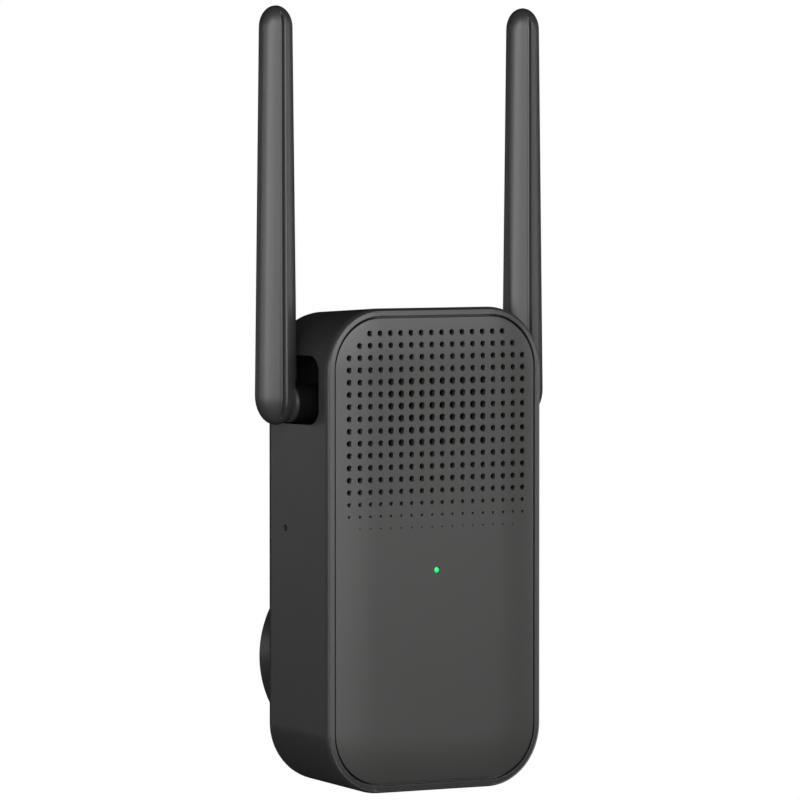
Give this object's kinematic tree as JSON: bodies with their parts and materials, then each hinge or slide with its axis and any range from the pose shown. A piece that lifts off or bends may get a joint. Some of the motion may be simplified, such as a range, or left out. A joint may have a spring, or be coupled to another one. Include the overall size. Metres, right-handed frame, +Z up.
{
  "type": "wifi range extender",
  "caption": "Upright dark-grey wall-plug wifi range extender with a perforated front panel, a status light and fold-down paddle antennas.",
  "frame": {"origin": "centre of the round plug face, midway between the two contact pins", "axes": "+X right seen from the front, +Y into the wall along the pins, +Z up along the housing"},
  "size_m": [0.0654, 0.0532, 0.1512],
  "materials": {
    "housing_plastic": "fine spark texture",
    "panel_plastic": "fine spark texture",
    "antenna_plastic": "satin",
    "insert_plastic": "moulded",
    "clear_plastic": "clear",
    "nickel": "plated",
    "brass": "rolled",
    "paper_board": "phenolic board",
    "glass_board": "solder mask",
    "ferrite": "sintered",
    "winding": "taped winding",
    "capacitor_sleeve": "shrink sleeve",
    "black_epoxy": "moulded epoxy",
    "resistor_body": "painted ceramic",
    "varistor_blue": "dipped epoxy",
    "insulation_film": "fish paper",
    "pad_silicone": "soft",
    "shield_steel": "tinned",
    "sink_aluminium": "black anodised",
    "lead_jacket": "extruded",
    "led_green": "lit",
    "switch_button": "moulded",
    "steel": "zinc plated"
  },
  "bodies": {
    "case": {"housing": "housing_plastic", "front_panel": "panel_plastic", "light_pipe": "clear_plastic", "plug_shroud": "housing_plastic", "plug_insert": "insert_plastic", "live_pin": "nickel", "neutral_pin": "nickel", "live_strip": "brass", "neutral_strip": "brass", "power_board": "paper_board", "transformer_core": "ferrite", "transformer_coil": "winding", "bulk_capacitors": "capacitor_sleeve", "output_capacitor": "capacitor_sleeve", "bridge_rectifier": "black_epoxy", "fuse_resistor": "resistor_body", "varistor": "varistor_blue", "filter_choke": "ferrite", "board_link": "brass", "insulation_sheet": "insulation_film", "main_board": "glass_board", "wifi_chip": "black_epoxy", "thermal_pad": "pad_silicone", "rf_shield": "shield_steel", "heat_sink": "sink_aluminium", "flash_chip": "black_epoxy", "crystal": "shield_steel", "coax_sockets": "brass", "status_led": "led_green", "reset_switch": "black_epoxy", "board_screws": "steel", "left_board_lead": "lead_jacket", "left_friction_washer": "steel", "right_board_lead": "lead_jacket", "right_friction_washer": "steel"},
    "left_antenna": {"left_pivot": "nickel", "left_retaining_clip": "steel", "left_antenna_inner_shell": "antenna_plastic", "left_antenna_outer_shell": "antenna_plastic", "left_antenna_lead": "lead_jacket", "left_radiator": "glass_board"},
    "right_antenna": {"right_pivot": "nickel", "right_retaining_clip": "steel", "right_antenna_inner_shell": "antenna_plastic", "right_antenna_outer_shell": "antenna_plastic", "right_antenna_lead": "lead_jacket", "right_radiator": "glass_board"},
    "reset_button": {"reset_plunger": "switch_button"}
  },
  "joints": [
    {"name": "left_antenna_hinge", "type": "hinge", "parent": "case", "child": "left_antenna", "pos_m": [-0.0284, -0.0211, 0.0503], "axis": [1, 0, 0], "range_deg": [0, 180]},
    {"name": "right_antenna_hinge", "type": "hinge", "parent": "case", "child": "right_antenna", "pos_m": [0.0284, -0.0211, 0.0503], "axis": [1, 0, 0], "range_deg": [0, 180]},
    {"name": "reset_press", "type": "slide", "parent": "case", "child": "reset_button", "axis": [1, 0, 0], "range_m": [0, 0.0003], "stiffness_N_per_m": 800}
  ]
}
